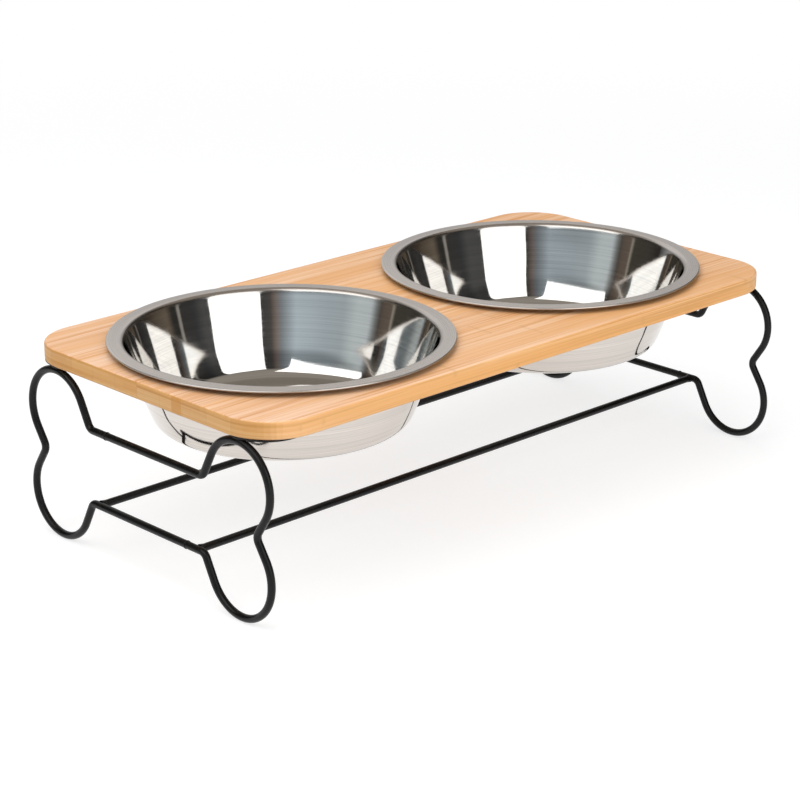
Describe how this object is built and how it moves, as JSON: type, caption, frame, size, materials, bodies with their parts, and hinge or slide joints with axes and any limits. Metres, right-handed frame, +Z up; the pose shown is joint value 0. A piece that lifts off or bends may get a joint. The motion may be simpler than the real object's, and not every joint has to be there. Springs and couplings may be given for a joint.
{
  "type": "double pet feeder",
  "caption": "Raised pet feeder: a bamboo board on a black wire stand with bone-shaped ends, holding lift-out steel bowls with rolled rims side by side.",
  "frame": {"origin": "on the floor, under the middle of the board", "axes": "+X along the board's length, -Y to the front, +Z up"},
  "size_m": [0.4, 0.201, 0.1137],
  "materials": {
    "bamboo": "clear matt lacquer over light bamboo with fine grain along the board",
    "bowl_steel": "polished stainless steel with fine rings, satin flange",
    "black_coat": "satin black powder coat",
    "screw_steel": "bright zinc plate"
  },
  "bodies": {
    "stand": {"bamboo_board": "bamboo", "left_front_wire": "black_coat", "left_rear_wire": "black_coat", "right_front_wire": "black_coat", "right_rear_wire": "black_coat", "front_rail": "black_coat", "rear_rail": "black_coat", "left_front_plate": "black_coat", "left_rear_plate": "black_coat", "right_front_plate": "black_coat", "right_rear_plate": "black_coat", "butt_welds": "black_coat", "rail_welds": "black_coat", "plate_welds": "black_coat", "board_screws": "screw_steel"},
    "left_bowl": {"left_bowl": "bowl_steel"},
    "right_bowl": {"right_bowl": "bowl_steel"}
  },
  "joints": [
    {"name": "left_bowl_lift", "type": "slide", "parent": "stand", "child": "left_bowl", "axis": [0, 0, 1], "range_m": [0, 0.08]},
    {"name": "right_bowl_lift", "type": "slide", "parent": "stand", "child": "right_bowl", "axis": [0, 0, 1], "range_m": [0, 0.08]}
  ]
}
